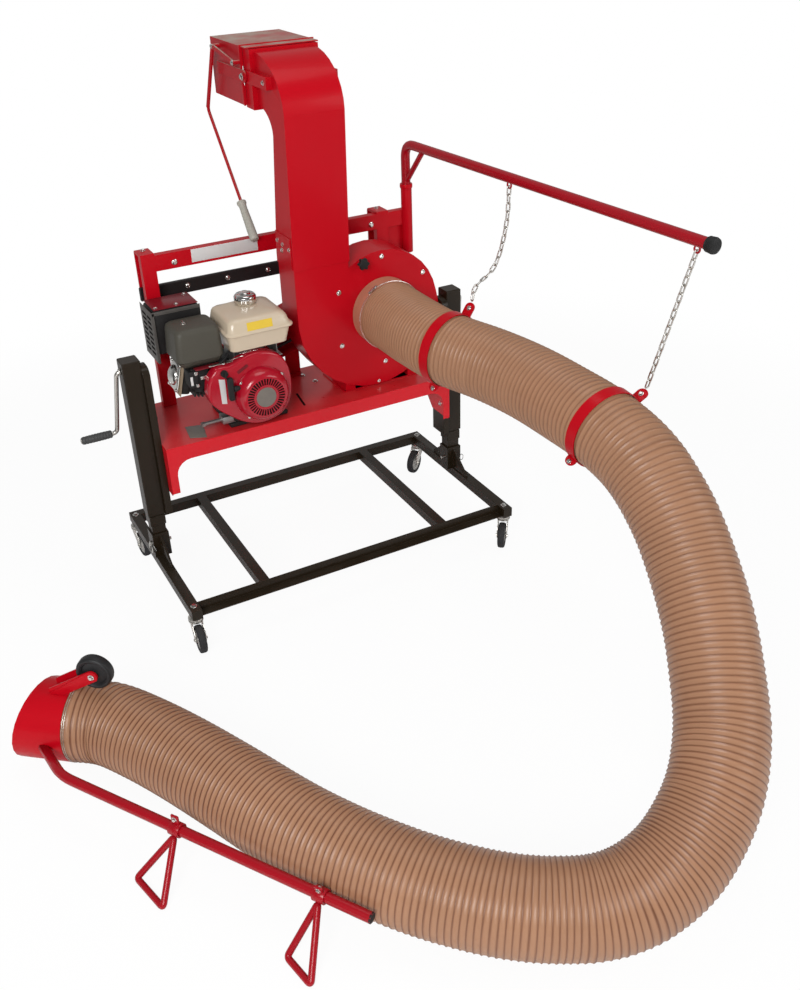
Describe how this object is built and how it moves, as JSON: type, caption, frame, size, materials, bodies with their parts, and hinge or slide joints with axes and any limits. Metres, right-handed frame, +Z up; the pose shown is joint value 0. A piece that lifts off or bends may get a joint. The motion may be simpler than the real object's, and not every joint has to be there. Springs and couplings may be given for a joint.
{
  "type": "leaf loader",
  "caption": "Engine-driven leaf loader on a lifting trolley: suction hose on a boom, scroll fan and a tall discharge chute with a tilting hood.",
  "frame": {"origin": "middle of the floor under the machine without its hose", "axes": "+X along the trolley towards the hose boom, +Z up, -Y towards the hose and the user, +Y towards the trailer"},
  "size_m": [2.1305, 2.7295, 1.826],
  "materials": {
    "black_steel": "gloss black powder coat",
    "red_paint": "gloss red paint",
    "zinc": "zinc plated",
    "tyre": "moulded grey-black rubber",
    "rubber": "matt black",
    "grey_plastic": "grained dark grey",
    "pale_plastic": "light grey moulding",
    "tank_paint": "gloss cream paint on sheet steel",
    "cast_alloy": "as-cast alloy",
    "chrome": "bright chrome",
    "hose": "translucent tan ribbed plastic",
    "belt": "black V-belt"
  },
  "bodies": {
    "trolley": {"base_frame": "black_steel", "inner_leg_left": "black_steel", "inner_leg_right": "black_steel", "hose_lower": "hose", "nozzle": "red_paint", "handle_bar": "red_paint"},
    "upper_machine": {"outer_leg_left": "black_steel", "outer_leg_right": "black_steel", "deck": "red_paint", "rear_frame": "red_paint", "buffer_strip": "rubber", "fan_housing": "red_paint", "fan_front_plate": "red_paint", "fan_bearing": "cast_alloy", "drive_belt": "belt", "belt_guard": "red_paint", "chute": "red_paint", "engine_block": "cast_alloy", "engine_shroud": "red_paint", "recoil_cover": "red_paint", "fuel_tank": "tank_paint", "air_cleaner": "grey_plastic", "muffler": "black_steel", "carburettor": "rubber", "hose_upper": "hose", "hose_ring_inner": "red_paint", "hose_ring_outer": "red_paint"},
    "hood": {"hood": "red_paint", "hood_grip": "pale_plastic"},
    "boom": {"boom": "red_paint", "boom_cap": "rubber", "chain_inner": "zinc", "chain_outer": "zinc"},
    "fan_rotor": {"impeller": "black_steel", "fan_shaft": "zinc", "fan_pulley": "cast_alloy"},
    "engine_drive": {"crankshaft": "zinc", "engine_pulley": "cast_alloy"},
    "crank_left": {"crank_left": "zinc"},
    "crank_right": {"crank_right": "zinc"},
    "crank_grip_left": {"crank_grip_left": "rubber"},
    "crank_grip_right": {"crank_grip_right": "rubber"},
    "leg_pin_left": {"leg_pin_left": "zinc"},
    "leg_pin_right": {"leg_pin_right": "zinc"},
    "star_knob": {"star_knob": "rubber"},
    "fuel_cap": {"fuel_cap": "chrome"},
    "throttle_lever": {"throttle_lever": "zinc"},
    "engine_switch": {"engine_switch": "rubber"},
    "starter_grip": {"starter_grip": "rubber"},
    "nozzle_wheel": {"nozzle_wheel": "tyre"},
    "handle_near": {"handle_near": "red_paint"},
    "handle_far": {"handle_far": "red_paint"},
    "castor_fork_front_left": {"castor_fork_front_left": "zinc"},
    "castor_wheel_front_left": {"castor_wheel_front_left": "tyre"},
    "castor_fork_front_right": {"castor_fork_front_right": "zinc"},
    "castor_wheel_front_right": {"castor_wheel_front_right": "tyre"},
    "castor_fork_back_right": {"castor_fork_back_right": "zinc"},
    "castor_wheel_back_right": {"castor_wheel_back_right": "tyre"},
    "castor_fork_back_left": {"castor_fork_back_left": "zinc"},
    "castor_wheel_back_left": {"castor_wheel_back_left": "tyre"}
  },
  "joints": [
    {"name": "lift_slide", "type": "slide", "parent": "trolley", "child": "upper_machine", "axis": [0, 0, 1], "range_m": [0, 0.35]},
    {"name": "crank_left_turn", "type": "hinge", "parent": "upper_machine", "child": "crank_left", "pos_m": [-0.622, 0.3572, 0.897], "axis": [-1, 0, 0], "range_deg": [-1261, 0]},
    {"name": "crank_grip_left_spin", "type": "hinge", "parent": "crank_left", "child": "crank_grip_left", "pos_m": [-0.622, 0.41344, 0.65341], "axis": [-1, 0, 0], "continuous": true},
    {"name": "leg_pin_left_pull", "type": "slide", "parent": "trolley", "child": "leg_pin_left", "axis": [-1, 0, 0], "range_m": [0, 0.09]},
    {"name": "crank_right_turn", "type": "hinge", "parent": "upper_machine", "child": "crank_right", "pos_m": [0.622, 0.3572, 0.897], "axis": [1, 0, 0], "range_deg": [-1261, 0]},
    {"name": "crank_grip_right_spin", "type": "hinge", "parent": "crank_right", "child": "crank_grip_right", "pos_m": [0.622, 0.41344, 0.65341], "axis": [1, 0, 0], "continuous": true},
    {"name": "leg_pin_right_pull", "type": "slide", "parent": "trolley", "child": "leg_pin_right", "axis": [1, 0, 0], "range_m": [0, 0.09]},
    {"name": "castor_swivel_front_left", "type": "hinge", "parent": "trolley", "child": "castor_fork_front_left", "pos_m": [-0.6315, -0.0298, 0.128], "axis": [0, 0, 1], "continuous": true},
    {"name": "castor_roll_front_left", "type": "hinge", "parent": "castor_fork_front_left", "child": "castor_wheel_front_left", "pos_m": [-0.63464, -0.06566, 0.05], "axis": [0.9962, -0.0872, 0], "continuous": true},
    {"name": "castor_swivel_front_right", "type": "hinge", "parent": "trolley", "child": "castor_fork_front_right", "pos_m": [0.6315, -0.0298, 0.128], "axis": [0, 0, 1], "continuous": true},
    {"name": "castor_roll_front_right", "type": "hinge", "parent": "castor_fork_front_right", "child": "castor_wheel_front_right", "pos_m": [0.60836, -0.05738, 0.05], "axis": [0.766, -0.6428, 0], "continuous": true},
    {"name": "castor_swivel_back_right", "type": "hinge", "parent": "trolley", "child": "castor_fork_back_right", "pos_m": [0.6315, 0.6562, 0.128], "axis": [0, 0, 1], "continuous": true},
    {"name": "castor_roll_back_right", "type": "hinge", "parent": "castor_fork_back_right", "child": "castor_wheel_back_right", "pos_m": [0.60201, 0.63555, 0.05], "axis": [0.5736, -0.8192, 0], "continuous": true},
    {"name": "castor_swivel_back_left", "type": "hinge", "parent": "trolley", "child": "castor_fork_back_left", "pos_m": [-0.6315, 0.6562, 0.128], "axis": [0, 0, 1], "continuous": true},
    {"name": "castor_roll_back_left", "type": "hinge", "parent": "castor_fork_back_left", "child": "castor_wheel_back_left", "pos_m": [-0.62836, 0.62034, 0.05], "axis": [0.9962, 0.0872, 0], "continuous": true},
    {"name": "hood_tilt", "type": "hinge", "parent": "upper_machine", "child": "hood", "pos_m": [0, 0.5712, 1.73], "axis": [1, 0, 0], "range_deg": [-24, 0]},
    {"name": "boom_swing", "type": "hinge", "parent": "upper_machine", "child": "boom", "pos_m": [0.575, 0.5932, 1.265], "axis": [0, 0, 1], "range_deg": [0, 3]},
    {"name": "fan_spin", "type": "hinge", "parent": "upper_machine", "child": "fan_rotor", "pos_m": [0.331, 0.4832, 0.91], "axis": [0, 1, 0], "continuous": true},
    {"name": "engine_spin", "type": "hinge", "parent": "upper_machine", "child": "engine_drive", "pos_m": [-0.205, 0.5132, 0.748], "axis": [0, 1, 0], "continuous": true},
    {"name": "star_knob_turn", "type": "hinge", "parent": "upper_machine", "child": "star_knob", "pos_m": [0.245, 0.3432, 1.109], "axis": [0, 1, 0], "range_deg": [0, 1080]},
    {"name": "fuel_cap_turn", "type": "hinge", "parent": "upper_machine", "child": "fuel_cap", "pos_m": [-0.176, 0.4032, 1.03], "axis": [0, 0, 1], "range_deg": [0, 90]},
    {"name": "throttle_turn", "type": "hinge", "parent": "upper_machine", "child": "throttle_lever", "pos_m": [-0.323, 0.2792, 0.876], "axis": [0, 0, 1], "range_deg": [0, 60]},
    {"name": "engine_switch_turn", "type": "hinge", "parent": "upper_machine", "child": "engine_switch", "pos_m": [-0.333, 0.2529, 0.852], "axis": [0, 1, 0], "range_deg": [0, 90]},
    {"name": "starter_pull", "type": "slide", "parent": "upper_machine", "child": "starter_grip", "axis": [-1, 0, 0], "range_m": [0, 0.3], "stiffness_N_per_m": 60, "springref_m": -0.05},
    {"name": "nozzle_wheel_roll", "type": "hinge", "parent": "trolley", "child": "nozzle_wheel", "pos_m": [-1.03969, -0.40028, 0.3286], "axis": [-0.6304, -0.7762, 0], "continuous": true},
    {"name": "handle_near_fold", "type": "hinge", "parent": "trolley", "child": "handle_near", "pos_m": [-0.9886, -0.91309, 0.14], "axis": [-0.5394, 0.842, 0], "range_deg": [0, 90]},
    {"name": "handle_far_fold", "type": "hinge", "parent": "trolley", "child": "handle_far", "pos_m": [-0.74371, -1.29537, 0.14], "axis": [-0.5394, 0.842, 0], "range_deg": [0, 45]}
  ],
  "couplings": [
    {"joint": "crank_left_turn", "follows": "lift_slide", "rad_per_m": -62.832},
    {"joint": "crank_right_turn", "follows": "lift_slide", "rad_per_m": -62.832},
    {"joint": "engine_spin", "follows": "fan_spin", "ratio": 1.2}
  ]
}
